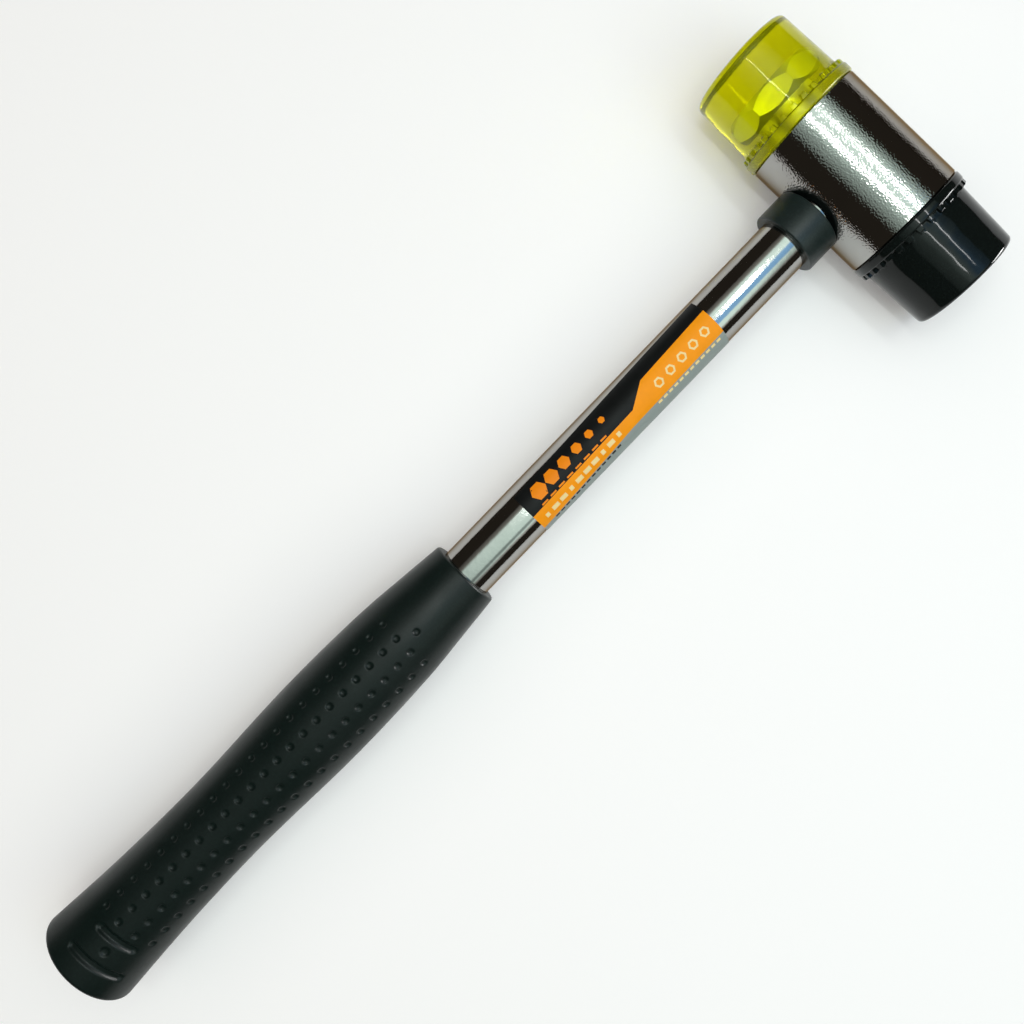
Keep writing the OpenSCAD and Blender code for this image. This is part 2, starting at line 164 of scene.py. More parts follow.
# Collar and label
COLLAR_EDGE = 0.5 * MM
COLLAR_GAP = 0.1 * MM
COLLAR_SIDES = 128
LABEL_T = 0.12 * MM
LABEL_R = SLEEVE_R + LABEL_T
PRINT_LIFT = 0.02 * MM
PRINT_R = LABEL_R + PRINT_LIFT

# Points that lie closer than this are one point, and edges that bend more than this stay sharp
MERGE_GAP = 0.0005 * MM
SHARP_ANGLE = math.radians(40)

# Sockets of a mix node that carry colours: their names are those of its number sockets too
MIX_FIRST, MIX_SECOND, MIX_RESULT = 6, 7, 2


# Mesh helpers

def spread(first, last, steps):
    """Evenly spaced values from first to last, with both ends."""
    return [first + (last - first) * i / steps for i in range(steps + 1)]


def arc(along, out, radius, first, last, steps=6):
    """Points (along, out) of an arc about a centre, with angles from outwards to forwards."""
    turns = [math.radians(a) for a in spread(first, last, steps)]
    return [(along + radius * math.sin(a), out + radius * math.cos(a)) for a in turns]


def mix(a, b, share):
    """The point or value at a share of the way from a to b."""
    if isinstance(a, tuple):
        return tuple(mix(p, q, share) for p, q in zip(a, b))
    return a + (b - a) * share


def on_shaft(along, radius, angle):
    """A point about the shaft's axis, with the angle from +Z towards -Y."""
    a = math.radians(angle)
    return Vector((along, -radius * math.sin(a), radius * math.cos(a)))


def on_head(seat_y, side, along, radius, angle):
    """A point about the barrel's axis in front of a seat, with the angle from +X towards +Z."""
    a = math.radians(angle)
    return Vector((HEAD_X + radius * math.cos(a), seat_y + side * along, radius * math.sin(a)))


def add_grid(bm, rows, closed=False, material=0):
    """Adds a sheet of faces through rows of points, closed from the last row to the first on request."""
    grid = [[bm.verts.new(point) for point in row] for row in rows]
    if closed:
        grid.append(grid[0])
    for here, there in zip(grid, grid[1:]):
        for i in range(len(here) - 1):
            face = bm.faces.new((here[i], here[i + 1], there[i + 1], there[i]))
            face.material_index = material


def clean(bm):
    """Joins points that meet and turns all faces outwards."""
    bmesh.ops.remove_doubles(bm, verts=bm.verts, dist=MERGE_GAP)
    bmesh.ops.recalc_face_normals(bm, faces=bm.faces)


def add_piece(name, bm, body, slot, *materials):
    """Turns a built mesh into a smooth piece that rides on a body and takes the given materials; slot is not
    used.
    """
    clean(bm)
    mesh = bpy.data.meshes.new(name)
    bm.to_mesh(mesh)
    bm.free()
    for material in materials:
        mesh.materials.append(material)
    mesh.shade_smooth()
    mesh.set_sharp_from_angle(angle=SHARP_ANGLE)
    piece = bpy.data.objects.new(name, mesh)
    bpy.context.scene.collection.objects.link(piece)
    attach(piece, body)
    return piece


# Node helpers

def feed(tree, socket, value):
    """Links another node's output to a socket, or sets the socket to a plain value."""
    if isinstance(value, bpy.types.NodeSocket):
        tree.links.new(value, socket)
    else:
        socket.default_value = value


def add_node(tree, kind, inputs=None, **settings):
    """Adds a node with its settings and feeds its inputs, given by name or number."""
    node = tree.nodes.new(kind)
    for key, value in settings.items():
        setattr(node, key, value)
    for socket, value in (inputs or {}).items():
        feed(tree, node.inputs[socket], value)
    return node


class Finish:
    """A material's nodes around its one surface shader, with calls for the steps that repeat."""

    def __init__(self, name, **sockets):
        """Starts a material, with an underscore for each space in the names of the shader's sockets."""
        self.material = bpy.data.materials.new(name)
        self.material.use_nodes = True
        self.tree = self.material.node_tree
        self.surface = self.tree.nodes["Principled BSDF"]
        self.place = self.add("ShaderNodeTexCoord").outputs["Object"]
        for socket, value in sockets.items():
            self.surface.inputs[socket.replace("_", " ")].default_value = value

    def add(self, kind, inputs=None, **settings):
        """Adds a node to this material."""
        return add_node(self.tree, kind, inputs, **settings)

    def to_surface(self, socket, value):
        """Links a value to one of the shader's sockets."""
        self.tree.links.new(value, self.surface.inputs[socket])

    def noise(self, size, detail, stretch=(1, 1, 1)):
        """Cloudy values about 0.5 with marks of that size, drawn out along an axis by its stretch."""
        scale = tuple(1 / (size * s) for s in stretch)
        place = self.add("ShaderNodeMapping", {"Vector": self.place, "Scale": scale}).outputs[0]
        inputs = {"Vector": place, "Scale": 1.0, "Detail": detail}
        return self.add("ShaderNodeTexNoise", inputs).outputs["Fac"]

    def levels(self, value, low, high, start=0.3, end=0.7):
        """Spreads the values from start to end over low to high."""
        inputs = {"Value": value, "From Min": start, "From Max": end, "To Min": low, "To Max": high}
        return self.add("ShaderNodeMapRange", inputs).outputs["Result"]

    def blend(self, share, first, second):
        """A colour between two colours."""
        inputs = {"Factor": share, MIX_FIRST: (*first, 1), MIX_SECOND: (*second, 1)}
        return self.add("ShaderNodeMix", inputs, data_type="RGBA").outputs[MIX_RESULT]

    def relief(self, height, depth, below=None):
        """A bumped normal whose marks are that deep, on top of another relief."""
        inputs = {"Height": height, "Distance": depth, "Strength": 1.0}
        if below is not None:
            inputs["Normal"] = below
        return self.add("ShaderNodeBump", inputs).outputs["Normal"]


# Materials

def chrome(name, roughness, peel_size, peel_depth, peel_detail, scratch_depth, streak):
    """Chrome plate with an orange-peel relief, faint smudges and fine scratches along the streak."""
    dull, bright = (0.35, 0.345, 0.33), (0.43, 0.425, 0.41)
    # The brown specular tint is a painted reflection: it browns the chrome at its grazing edges.
    finish = Finish(name, Metallic=1.0, Specular_Tint=(0.35, 0.24, 0.14, 1))
    smudge = finish.noise(size=9 * MM, detail=4.0)
    finish.to_surface("Base Color", finish.blend(smudge, dull, bright))
    finish.to_surface("Roughness", finish.levels(smudge, 0.8 * roughness, 1.25 * roughness))
    peel = finish.relief(finish.noise(peel_size, peel_detail), peel_depth)
    scratch = finish.noise(size=0.12 * MM, detail=3.0, stretch=streak)
    finish.to_surface("Normal", finish.relief(scratch, scratch_depth, below=peel))
    return finish.material


def clear_plastic():
    """See-through yellow-green plastic, clear in its body and frosted on its flange."""
    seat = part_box("clear_face")[0].y
    frost_start, frost_end = (seat + end for end in FROST_ENDS)
    frosted, clear = 0.22, 0.02
    finish = Finish(
        "clear_plastic",
        Base_Color=(0.85, 0.93, 0.01, 1),
        IOR=1.49,
        Transmission_Weight=0.86,
        Specular_Tint=(0.5, 0.55, 0.4, 1),
    )
    along = finish.add("ShaderNodeSeparateXYZ", {"Vector": finish.place}).outputs["Y"]
    finish.to_surface("Roughness", finish.levels(along, frosted, clear, frost_start, frost_end))
    ripple = finish.relief(finish.noise(size=4 * MM, detail=1.5), depth=0.06 * MM)
    grain = finish.noise(size=0.3 * MM, detail=2.0)
    finish.to_surface("Normal", finish.relief(grain, depth=0.002 * MM, below=ripple))
    filling = finish.add("ShaderNodeVolumeAbsorption", {"Color": (0.99, 0.95, 0.0, 1), "Density": 110.0})
    feed(finish.tree, finish.tree.nodes["Material Output"].inputs["Volume"], filling.outputs[0])
    return finish.material


def steel(name, colour, roughness, grain_size):
    """Plain or plated steel with a fine grain and dull patches."""
    finish = Finish(name, Metallic=1.0)
    patch = finish.noise(size=5 * MM, detail=3.0)
    darker = tuple(0.75 * c for c in colour)
    finish.to_surface("Base Color", finish.blend(patch, darker, colour))
    finish.to_surface("Roughness", finish.levels(patch, 0.8 * roughness, 1.3 * roughness))
    grain = finish.noise(grain_size, detail=3.0)
    finish.to_surface("Normal", finish.relief(grain, depth=0.006 * MM))
    return finish.material


def moulding(name, colour, roughness, specular, ripple, grain):
    """Black rubber or plastic: ripple and grain are (size, depth) pairs, and dust pales it in patches."""
    finish = Finish(name, Specular_IOR_Level=specular)
    dust = finish.levels(finish.noise(size=0.6 * MM, detail=4.0), 0, 1, start=0.45, end=0.8)
    pale = tuple(1.6 * c for c in colour)
    finish.to_surface("Base Color", finish.blend(dust, colour, pale))
    patch = finish.noise(size=14 * MM, detail=4.0)
    finish.to_surface("Roughness", finish.levels(patch, 0.85 * roughness, 1.2 * roughness))
    ripple_size, ripple_depth = ripple
    grain_size, grain_depth = grain
    relief = finish.relief(finish.noise(ripple_size, detail=0.5), ripple_depth)
    finish.to_surface("Normal", finish.relief(finish.noise(grain_size, detail=3.0), grain_depth, relief))
    return finish.material


def film(name, colour):
    """Printed plastic film with a satin gloss, faint wrinkles and uneven ink."""
    roughness = 0.45
    finish = Finish(name, Specular_IOR_Level=0.15)
    ink = finish.noise(size=3 * MM, detail=4.0)
    darker = tuple(0.85 * c for c in colour)
    finish.to_surface("Base Color", finish.blend(ink, darker, colour))
    finish.to_surface("Roughness", finish.levels(ink, 0.85 * roughness, 1.15 * roughness))
    wrinkle = finish.noise(size=2 * MM, detail=2.0, stretch=(6, 1, 1))
    finish.to_surface("Normal", finish.relief(wrinkle, depth=0.01 * MM))
    return finish.material


# Faces

def tooth_turns(flange_r):
    """Angles around a flange, each with the share of a tooth's height there."""
    pitch = math.tau * flange_r / TEETH
    top = TOOTH_W / 2 - TOOTH_FLANK / 2
    foot = TOOTH_W / 2 + TOOTH_FLANK / 2
    steps = [(x, 1) for x in spread(-top, top, 3)] + [(x, 0) for x in spread(foot, pitch - foot, 5)]
    return [
        (math.degrees((i * pitch + x) / flange_r), height) for i in range(TEETH) for x, height in steps
    ]


def face_outline(face, length, flange_r, tooth):
    """Outline (along, out) of a screw-in face from its seat's centre to its striking end's centre."""
    ring = face["flange_len"] - TOOTH_LEN
    rim_r = flange_r - FLANGE_EDGE
    tooth_r = flange_r - TOOTH_DROP
    root_r, end_r, edge_r = face["root_r"], face["end_r"], face["edge_r"]
    meet = math.degrees(math.acos((tooth_r - rim_r) / FLANGE_EDGE))
    shoulder = arc(ring - FLANGE_EDGE, rim_r, FLANGE_EDGE, meet, 90, 4)
    tooth_top = arc(face["flange_len"] - TOOTH_DROP, tooth_r - TOOTH_DROP, TOOTH_DROP, 0, 90, 4)
    flare_len = TOOTH_LEN + face["flare"]
    flare_rise = (rim_r - root_r) * FLARE_SHARE
    flare_start = math.degrees(math.acos(1 - tooth * TOOTH_LEN / flare_len))
    flare = [
        (ring + flare_len * (1 - math.cos(a)), root_r + flare_rise * (1 - math.sin(a)))
        for a in (math.radians(turn) for turn in spread(flare_start, 90, 7))
    ]
    body = [mix((ring + flare_len, root_r), (length - edge_r, end_r), s) for s in spread(0, 1, 6)[1:-1]]
    return [
        (0, 0),
        (0, rim_r / 2),
        *arc(FLANGE_EDGE, rim_r, FLANGE_EDGE, -90, 0),
        *arc(ring - FLANGE_EDGE, rim_r, FLANGE_EDGE, 0, meet, 3),
        *(mix(low, high, tooth) for low, high in zip(shoulder, tooth_top)),
        *flare,
        *body,
        *arc(length - edge_r, end_r - edge_r, edge_r, 0, 90, 8),
        (length, end_r / 2),
        (length, 0),
    ]


def screw_face(face, body, slot, material):
    """A face that screws into the barrel, with the teeth around its flange."""
    low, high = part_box(face["node"])
    side = face["side"]
    seat_y = low.y if side > 0 else high.y
    length = high.y - low.y
    flange_r = (high.z - low.z) / 2
    rows = []
    for angle, tooth in tooth_turns(flange_r):
        outline = face_outline(face, length, flange_r, tooth)
        rows.append([on_head(seat_y, side, along, out, angle) for along, out in outline])
    bm = bmesh.new()
    add_grid(bm, rows, closed=True)
    piece = add_piece(face["node"] + "_moulding", bm, body, slot, material)
    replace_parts(piece, face["node"])


# Collar

def shaft_collar(material):
    """Ring around the tube, turned about the shaft's axis and hollowed where it meets the barrel."""
    radius = collar_high.z
    outline = [
        (collar_low.x, SLEEVE_R),
        *arc(collar_low.x + COLLAR_EDGE, radius - COLLAR_EDGE, COLLAR_EDGE, -90, 0, 8),
        *arc(collar_high.x - COLLAR_EDGE, radius - COLLAR_EDGE, COLLAR_EDGE, 0, 90, 8),
        (collar_high.x, (radius + SLEEVE_R) / 2),
        (collar_high.x, SLEEVE_R),
        (collar_low.x, SLEEVE_R),
    ]
    turns = spread(0, 360, COLLAR_SIDES)[:-1]
    bm = bmesh.new()
    add_grid(bm, [[on_shaft(along, out, turn) for along, out in outline] for turn in turns], closed=True)
    for vert in bm.verts:
        hollow = HEAD_X - math.sqrt((BARREL_R + COLLAR_GAP) ** 2 - vert.co.z ** 2)
        vert.co.x = min(vert.co.x, hollow)
    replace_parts(add_piece("collar_ring", bm, "hammer", "collar_rubber", material), "shaft_collar")


# Label

# Lines of the label, each as points (distance from its lower edge, angle): its fields lie between them
LABEL_LINES = [
    [(0, -38), (LABEL_LEN, -63)],
    [(0, 18.9), (38 * MM, 12.8), (45 * MM, -17.6), (LABEL_LEN, -25)],
    [(0, 60), (35 * MM, 40.7), (LABEL_LEN, 34.8)],
    [(0, 250), (LABEL_LEN, 237)],
]
# Columns of the grid on each field
LABEL_COLUMNS = [12, 12, 60]
LABEL_ROWS = 30


def line_angle(line, along):
    """Angle of one of the label's lines at a distance from its lower edge."""
    for (x0, a0), (x1, a1) in zip(line, line[1:]):
        if along <= x1:
            return mix(a0, a1, (along - x0) / (x1 - x0))
    return line[-1][1]


def shaft_label(*fields):
    """Film that wraps the tube, with one grid for each colour field and its edges closed to the tube."""
    places = sorted({x for line in LABEL_LINES for x, _ in line} | set(spread(0, LABEL_LEN, LABEL_ROWS)))
    bm = bmesh.new()
    for field, columns in enumerate(LABEL_COLUMNS):
        rows = []
        for along in places:
            first, last = (line_angle(line, along) for line in LABEL_LINES[field:field + 2])
            angles = spread(first, last, columns)
            rows.append([on_shaft(label_low.x + along, LABEL_R, angle) for angle in angles])
        add_grid(bm, rows, material=field)
    clean(bm)
    bmesh.ops.solidify(bm, geom=bm.faces[:], thickness=LABEL_T)
    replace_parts(add_piece("wrap_label", bm, "hammer", "label_film", *fields), "shaft_label")


def hexagon(radius):
    """Outline of a hexagon, with a point halfway along each side."""
    corners = [(radius * math.cos(a), radius * math.sin(a)) for a in spread(0, math.tau, 6)]
    return [point for a, b in zip(corners, corners[1:]) for point in (a, mix(a, b, 0.5))]


def dash(length, width):
    """Outline of a dash that runs along the shaft, with two points along each side."""
    u, v = length / 2, width / 2
    corners = [(-u, -v), (u, -v), (u, v), (-u, v), (-u, -v)]
    return [point for a, b in zip(corners, corners[1:]) for point in (a, mix(a, b, 0.33), mix(a, b, 0.67))]


# Generic print: runs of hexagons and dashes, each as (ink, first place along the label, step, outlines,
# share of an outline that is open, angles at the run's two ends)
ORANGE, PALE, DARK = range(3)
SHRINKING_HEXAGONS = [hexagon(r * MM) for r in (2.5, 2.2, 1.9, 1.6, 1.3, 1)]
SHORT_DASH, LONG_DASH = dash(1.2 * MM, 1.4 * MM), dash(2.3 * MM, 1.4 * MM)
MIXED_DASHES = [
    SHORT_DASH,
    *[LONG_DASH] * 2,
    SHORT_DASH,
    *[LONG_DASH] * 3,
    SHORT_DASH,
    LONG_DASH,
    SHORT_DASH,
]
PRINT_RUNS = [
    (ORANGE, 6 * MM, 4.9 * MM, SHRINKING_HEXAGONS, 0, (-10, -19)),
    (ORANGE, 5 * MM, 3.2 * MM, [dash(2.1 * MM, 0.5 * MM)] * 8, 0, (15, 10)),
    (PALE, 3.2 * MM, 3.1 * MM, MIXED_DASHES, 0, (39, 27)),
    (PALE, 48 * MM, 4.4 * MM, [hexagon(1.5 * MM)] * 5, 0.6, (12, 7)),
    (DARK, 5 * MM, 2 * MM, [dash(1.3 * MM, 0.7 * MM)] * 13, 0, (61, 49)),
    (PALE, 45 * MM, 2 * MM, [dash(1.3 * MM, 0.8 * MM)] * 12, 0, (44, 42)),
]


def print_grid(outline, x, angle, open_share):
    """Rows of points on the label from an outline's open middle to the outline."""
    shares = spread(open_share, 1, 4)
    return [
        [on_shaft(x + u * s, PRINT_R, angle + math.degrees(v * s / PRINT_R)) for s in shares]
        for u, v in outline
    ]


def label_print(*inks):
    """Thin ink on the label."""
    bm = bmesh.new()
    for ink, first, step, outlines, open_share, angles in PRINT_RUNS:
        for i, outline in enumerate(outlines):
            x = label_low.x + first + i * step
            angle = mix(*angles, i / (len(outlines) - 1))
            add_grid(bm, print_grid(outline, x, angle, open_share), closed=True, material=ink)
    add_piece("label_print", bm, "hammer", "label_film", *inks)


# Grip

def grip_r(along):
    """Radius of the grip at a distance from its butt end, on a smooth curve through its stations."""
    stations = [(share * GRIP_LEN, radius) for share, radius in GRIP_STATIONS]
    rises = [(b[1] - a[1]) / (b[0] - a[0]) for a, b in zip(stations, stations[1:])]
    slopes = [
        rises[0],
        *(0 if p * q <= 0 else (p + q) / 2 for p, q in zip(rises, rises[1:])),
        rises[-1],
    ]
    i = max(k for k in range(len(rises)) if along >= stations[k][0] or k == 0)
    span = stations[i + 1][0] - stations[i][0]
    t = (along - stations[i][0]) / span
    start, end = stations[i][1], stations[i + 1][1]
    p, q = slopes[i] * span, slopes[i + 1] * span
    return start + p * t + (3 * (end - start) - 2 * p - q) * t * t + (p + q - 2 * (end - start)) * t ** 3


def bowl(distance, radius, depth):
    """Depth of a hollow with a flat floor and rounded walls at a distance from its middle."""
    share = min(max((MARK_RIM_SHARE - distance / radius) / MARK_WALL_SHARE, 0), 1)
    return depth * share * share * (3 - 2 * share)


def short_way(angle):
    """The same angle between -180 and 180."""
    return (angle + 180) % 360 - 180


def around(radius, angle):
    """Length of the arc that an angle spans, the short way round."""
    return radius * math.radians(short_way(angle))


def dent(along, radius, angle):
    """Depth of the grip's marks at a place on its surface."""
    across = around(radius, angle - MARKS_ANGLE)
    depth = bowl(math.hypot(along - HOLLOW_PLACE, across), HOLLOW_R, HOLLOW_DEPTH)
    row = min(max(round((along - DIMPLE_START) / DIMPLE_PITCH), 0), DIMPLE_ROWS)
    ahead = along - DIMPLE_START - row * DIMPLE_PITCH
    for column in DIMPLE_COLUMNS if row < DIMPLE_ROWS else [MARKS_ANGLE]:
        for side in DIMPLE_SIDES:
            across = around(radius, angle - side - column)
            depth = max(depth, bowl(math.hypot(ahead, across), DIMPLE_R, DIMPLE_DEPTH))
    for place, first, last in GROOVES:
        end = math.degrees(GROOVE_R / radius)
        nearest = min(max(short_way(angle), first + end), last - end)
        across = around(radius, angle - nearest)
        ahead = along - place - GROOVE_SLANT * radius * math.sin(math.radians(nearest))
        depth = max(depth, bowl(math.hypot(ahead, across), GROOVE_R, GROOVE_DEPTH))
    return depth


def stops(low, high, step, middles, radius):
    """Values from low to high for a grid, closer together about the middles of marks with that radius."""
    shares = [0, *MARK_LINE_SHARES, *(-share for share in MARK_LINE_SHARES)]
    near = [middle + share * radius for middle in middles for share in shares]
    rest = [
        value for value in spread(low, high, round((high - low) / step))
        if all(abs(value - middle) > MARK_ROOM_SHARE * radius for middle in middles)
    ]
    return sorted(near + rest)


def hand_grip(material):
    """Moulded grip that leans on the shaft, with its marks sunk in and a straight bore for the tube."""
    first, last = GRIP_BUTT_R, GRIP_LEN - GRIP_MOUTH_R
    dimple_rows = [DIMPLE_START + row * DIMPLE_PITCH for row in range(DIMPLE_ROWS + 1)]
    groove_places = spread(first, GROOVES_END, GROOVES_STEPS)[1:]
    dimple_places = stops(GROOVES_END, last, GRIP_STEP, dimple_rows, DIMPLE_R)[1:-1]
    side = [(x, grip_r(x)) for x in groove_places + dimple_places]
    columns = [turn + angle for turn in DIMPLE_SIDES for angle in [*DIMPLE_COLUMNS, MARKS_ANGLE]]
    dimple_angle = math.degrees(DIMPLE_R / grip_r(GRIP_LEN / 2))
    butt = [(0, 0), (0, grip_r(0) / 2), *arc(first, grip_r(first) - GRIP_BUTT_R, GRIP_BUTT_R, -90, 0, 8)]
    mouth = arc(last, grip_r(last) - GRIP_MOUTH_R, GRIP_MOUTH_R, 0, 90, 6)
    bore_outline = [(GRIP_LEN, SLEEVE_R), (GRIP_END_WALL, SLEEVE_R), (GRIP_END_WALL, 0)]
    straight = LEAN.inverted()
    rows = []
    for angle in stops(*GRIP_ANGLES, GRIP_ANGLE_STEP, columns, dimple_angle):
        marked = [(x, r - dent(x, r, angle)) for x, r in side]
        outer = [on_shaft(along, out, angle) for along, out in [*butt, *marked, *mouth]]
        rows.append(outer + [straight @ on_shaft(along, out, angle) for along, out in bore_outline])
    bm = bmesh.new()
    add_grid(bm, rows, closed=True)
    bm.transform(LEAN)
    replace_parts(add_piece("grip_moulding", bm, "hammer", "grip_rubber", material), "hand_grip")


# Stage

FLOOR_HALF = 2.5
FLOOR_SHADE = (0.9, 0.9, 0.9, 1)
FLOOR_LIFT = 0.1


def floor():
    """Wide pale floor that keeps the shadow, lifted a little where it is seen, mirrored or shows through."""
    bm = bmesh.new()
    corners = [(-1, -1), (1, -1), (1, 1), (-1, 1)]
    bm.faces.new([bm.verts.new((FLOOR_HALF * x, FLOOR_HALF * y, FLOOR_Z)) for x, y in corners])
    mesh = bpy.data.meshes.new("floor")
    bm.to_mesh(mesh)
    bm.free()
    finish = Finish("floor", Base_Color=FLOOR_SHADE, Roughness=1.0, Specular_IOR_Level=0.0)
    path = finish.add("ShaderNodeLightPath").outputs
    seen = path["Is Camera Ray"]
    for ray in ("Is Glossy Ray", "Is Transmission Ray"):
        seen = finish.add("ShaderNodeMath", {0: seen, 1: path[ray]}, operation="MAXIMUM").outputs[0]
    finish.surface.inputs["Emission Color"].default_value = (1, 1, 1, 1)
    finish.to_surface("Emission Strength", finish.levels(seen, 0, FLOOR_LIFT, start=0, end=1))
    mesh.materials.append(finish.material)
    ground = bpy.data.objects.new("floor", mesh)
    bpy.context.scene.collection.objects.link(ground)


# Soft box over the hammer: its level, its edges, its share of the full brightness along X and the colour
# of its light along Y, where the middle turns from plain to blue between two places along X
BOX_LEVEL = 0.75
BOX_X = (-0.4, 0.86)
BOX_Y = (-1.4, 0.55)
BOX_RADIANCE = 3.0
BOX_SHARES = [
    (-0.4, 0.06), (0, 0.24), (0.13, 0.52), (0.3, 0.56), (0.45, 0.6), (0.52, 0.6), (0.62, 0.3), (0.86, 0.14)
]
BOX_BLUE_START = (0.2, 0.36)
BOX_WHITE = (0.8, 1, 0.92)
BOX_BLUE = (0.25, 0.5, 0.8)
BOX_GREY = (0.3, 0.38, 0.36)
BOX_NEAR = [(-1.4, (0.2, 0.2, 0.19)), (-1.15, (0.5, 0.5, 0.47)), (-0.9, BOX_WHITE)]
BOX_PLAIN_MIDDLE = [(-0.72, BOX_GREY), (-0.6, BOX_GREY), (-0.48, BOX_WHITE)]
BOX_BLUE_MIDDLE = [(-0.58, BOX_WHITE), (-0.46, BOX_BLUE), (-0.2, BOX_BLUE)]
BOX_FAR = [(-0.1, BOX_WHITE), (0.17, BOX_WHITE), (0.3, (0.2, 0.2, 0.18)), (0.55, (0.04, 0.04, 0.04))]
# Broad fill that lights surfaces but leaves no image on the glossy ones
FILL_LEVEL = 0.9
FILL_X = (-1.2, 1.6)
FILL_Y = (-1.4, 1.4)
FILL_RADIANCE = 0.56
FILL_COLOUR = (1, 0.86, 0.84)
# Bright strips under the box, each as (name, place along X, edges along Y)
STRIP_LEVEL = 0.74
STRIP_WIDTH = 0.026
STRIP_RADIANCE = 20
STRIPS = [("near_strip", 0.187, (-0.2, 0.24)), ("far_strip", 0.452, (-0.2, 0.05))]
# Upright card beside the head that shows only in gloss, for the bright line along the rubber face's edge
CARD_PLACE = (1.065, -0.68)
CARD_TURN = math.radians(43)
CARD_WIDTH = 0.6
CARD_TOP = 0.3
CARD_RADIANCE = 32
# Dark room around the stage
ROOM_COLOUR = (0.03, 0.025, 0.019, 1)


def box_lamp(name, x_ends, y_ends, level, radiance):
    """A soft box that looks straight down, given by its edges and its brightness."""
    light = bpy.data.lights.new(name, "AREA")
    light.shape = "RECTANGLE"
    light.size, light.size_y = x_ends[1] - x_ends[0], y_ends[1] - y_ends[0]
    light.energy = radiance * math.pi * light.size * light.size_y
    holder = bpy.data.objects.new(name, light)
    holder.location = (sum(x_ends) / 2, sum(y_ends) / 2, level)
    bpy.context.scene.collection.objects.link(holder)
    return holder


def graded(light):
    """Gives the soft box its shares along X and its colours along Y."""
    light.use_nodes = True
    tree = light.node_tree
    spot = add_node(tree, "ShaderNodeNewGeometry").outputs["Parametric"]
    axes = add_node(tree, "ShaderNodeSeparateXYZ", {0: spot}).outputs

    def ramp(axis, ends, colours):
        """Colours along one of the lamp's axes, each given with its place."""
        node = add_node(tree, "ShaderNodeValToRGB", {0: axes[axis]})
        stations = node.color_ramp.elements
        while len(stations) < len(colours):
            stations.new(1)
        for station, (place, colour) in zip(stations, colours):
            station.position = (place - ends[0]) / (ends[1] - ends[0])
            station.color = (*colour, 1)
        return node.outputs["Color"]

    def mixed(kind, share, first, second):
        """Two colours, mixed in one of the mix node's ways."""
        inputs = {"Factor": share, MIX_FIRST: first, MIX_SECOND: second}
        node = add_node(tree, "ShaderNodeMix", inputs, data_type="RGBA", blend_type=kind)
        return node.outputs[MIX_RESULT]

    shares = ramp("X", BOX_X, [(x, (share, share, share)) for x, share in BOX_SHARES])
    blue_share = ramp("X", BOX_X, [(x, (share, share, share)) for share, x in enumerate(BOX_BLUE_START)])
    plain = ramp("Y", BOX_Y, BOX_NEAR + BOX_PLAIN_MIDDLE + BOX_FAR)
    blue = ramp("Y", BOX_Y, BOX_NEAR + BOX_BLUE_MIDDLE + BOX_FAR)
    colours = mixed("MIX", blue_share, plain, blue)
    feed(tree, tree.nodes["Emission"].inputs["Color"], mixed("MULTIPLY", 1, shares, colours))


def edge_card():
    """A card that stands on the shaft's level and looks at the head."""
    card = box_lamp("edge_card", (0, CARD_WIDTH), (0, CARD_TOP), 0, CARD_RADIANCE)
    card.location = (*CARD_PLACE, CARD_TOP / 2)
    card.rotation_euler = (math.pi / 2, 0, CARD_TURN)
    card.visible_diffuse = False
    card.visible_transmission = False


def studio():
    """All lamps and the room."""
    graded(box_lamp("soft_box", BOX_X, BOX_Y, BOX_LEVEL, BOX_RADIANCE).data)
    fill = box_lamp("fill", FILL_X, FILL_Y, FILL_LEVEL, FILL_RADIANCE)
    fill.data.color = FILL_COLOUR
    fill.visible_glossy = False
    for name, x, y_ends in STRIPS:
        box_lamp(name, (x - STRIP_WIDTH / 2, x + STRIP_WIDTH / 2), y_ends, STRIP_LEVEL, STRIP_RADIANCE)
    edge_card()
    world = bpy.data.worlds.new("room")
    world.use_nodes = True
    background = world.node_tree.nodes["Background"]
    background.inputs["Color"].default_value = ROOM_COLOUR
    background.inputs["Strength"].default_value = 1.0
    bpy.context.scene.world = world
    bpy.context.scene.view_settings.view_transform = "Standard"


# Camera above the shaft, square to the floor: the picture's size, its scale at the shaft's axis, the
# camera's distance and the foot of its axis, all in pixels, then its place along the shaft and its turn
PICTURE = 1024
PIXELS_PER_M = 3743
CAMERA_DISTANCE = 1036
CAMERA_FOOT = (543.6, 493.1)
CAMERA_X = 173.4 * MM
CAMERA_TURN = math.radians(-46)
CAMERA_CLIP = 1 * MM


def camera():
    """The photo's camera."""
    data = bpy.data.cameras.new("camera")
    data.lens = data.sensor_width * CAMERA_DISTANCE / PICTURE
    data.shift_x = 0.5 - CAMERA_FOOT[0] / PICTURE
    data.shift_y = CAMERA_FOOT[1] / PICTURE - 0.5
    data.clip_start = CAMERA_CLIP
    holder = bpy.data.objects.new("camera", data)
    holder.location = (CAMERA_X, 0, CAMERA_DISTANCE / PIXELS_PER_M)
    holder.rotation_euler = (0, 0, CAMERA_TURN)
    bpy.context.scene.collection.objects.link(holder)
    bpy.context.scene.camera = holder


def dress(material, *nodes):
    """Gives CAD nodes whose shape is right a better material."""
    for node in nodes:
        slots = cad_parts[node].data.materials
        slots.clear()
        slots.append(material)


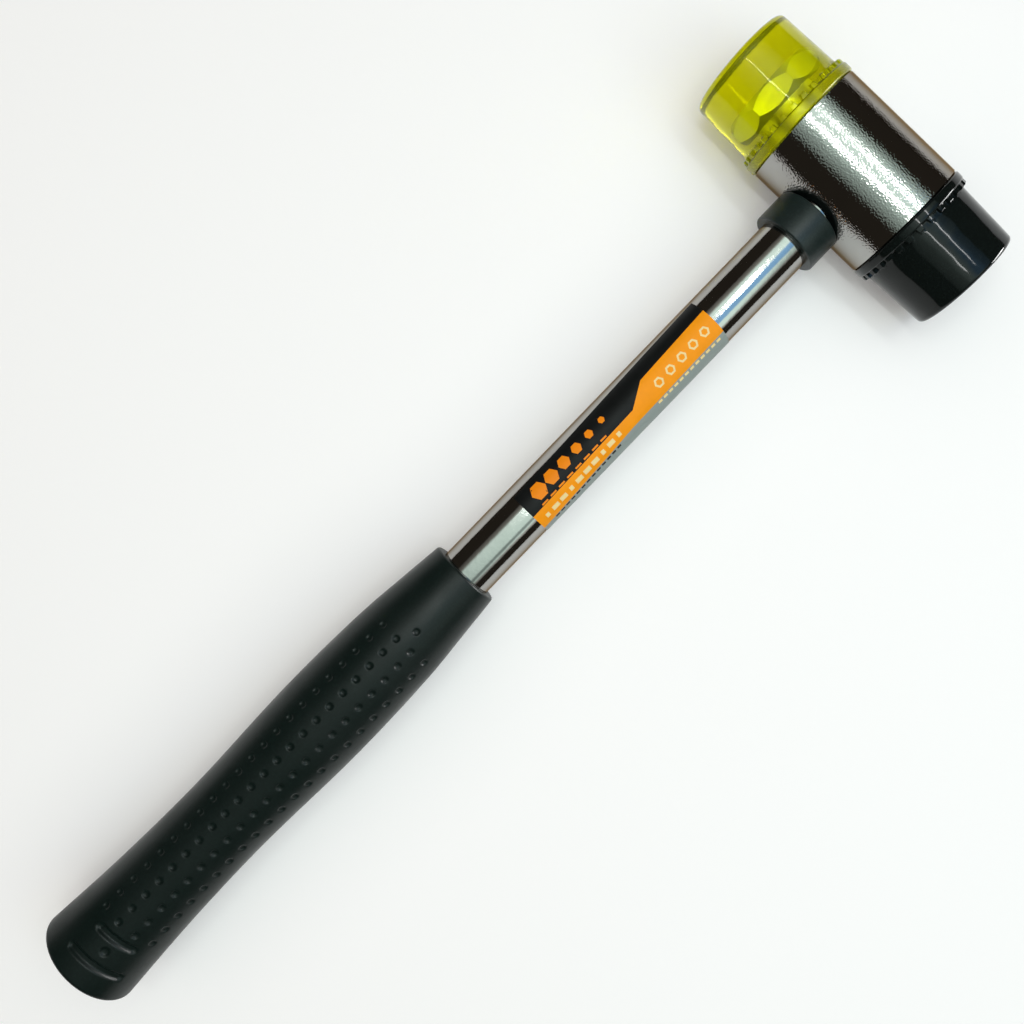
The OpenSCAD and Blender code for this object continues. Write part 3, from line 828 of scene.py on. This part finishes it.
# Steel pieces and the bung keep their CAD shape
barrel_chrome = chrome(
    "barrel_chrome",
    roughness=0.05,
    peel_size=0.46 * MM,
    peel_depth=0.06 * MM,
    peel_detail=0.6,
    scratch_depth=0.0006 * MM,
    streak=(1, 8, 1),
)
tube_chrome = chrome(
    "tube_chrome",
    roughness=0.08,
    peel_size=1.6 * MM,
    peel_depth=0.016 * MM,
    peel_detail=3.0,
    scratch_depth=0.0012 * MM,
    streak=(12, 1, 1),
)
plated_steel = steel("plated_steel", (0.86, 0.88, 0.88), roughness=0.38, grain_size=0.2 * MM)
spring_steel = steel("spring_steel", (0.2, 0.2, 0.21), roughness=0.35, grain_size=0.3 * MM)
plain_steel = steel("plain_steel", (0.5, 0.5, 0.52), roughness=0.35, grain_size=0.25 * MM)
bung_plastic = moulding(
    "bung_plastic",
    (0.02, 0.02, 0.022),
    roughness=0.5,
    specular=0.4,
    ripple=(3 * MM, 0.01 * MM),
    grain=(0.2 * MM, 0.004 * MM),
)
dress(barrel_chrome, "head_barrel")
dress(tube_chrome, "shaft_tube")
dress(plated_steel, "clear_face_bolt", "rubber_face_bolt")
dress(spring_steel, "clear_lock_washer", "rubber_lock_washer")
dress(plain_steel, "shaft_expander")
dress(bung_plastic, "shaft_end_bung")

# Moulded pieces
face_rubber = moulding(
    "face_rubber",
    (0.004, 0.006, 0.0055),
    roughness=0.07,
    specular=0.24,
    ripple=(4.5 * MM, 0.12 * MM),
    grain=(0.25 * MM, 0.0006 * MM),
)
collar_rubber = moulding(
    "collar_rubber",
    (0.01, 0.017, 0.016),
    roughness=0.36,
    specular=0.35,
    ripple=(4 * MM, 0.02 * MM),
    grain=(0.22 * MM, 0.008 * MM),
)
grip_rubber = moulding(
    "grip_rubber",
    (0.0035, 0.0085, 0.0072),
    roughness=0.38,
    specular=0.25,
    ripple=(6 * MM, 0.03 * MM),
    grain=(0.22 * MM, 0.008 * MM),
)
screw_face(CLEAR_FACE, "clear_screw_face", "clear_plastic", clear_plastic())
screw_face(RUBBER_FACE, "rubber_screw_face", "face_rubber", face_rubber)
shaft_collar(collar_rubber)
hand_grip(grip_rubber)

# Label and its print
shaft_label(
    film("black_film", (0.006, 0.007, 0.007)),
    film("orange_film", (1.0, 0.34, 0.002)),
    film("grey_film", (0.3, 0.35, 0.33)),
)
label_print(
    film("orange_ink", (0.95, 0.27, 0.002)),
    film("pale_ink", (0.95, 0.74, 0.34)),
    film("dark_ink", (0.02, 0.025, 0.024)),
)

camera()
floor()
studio()
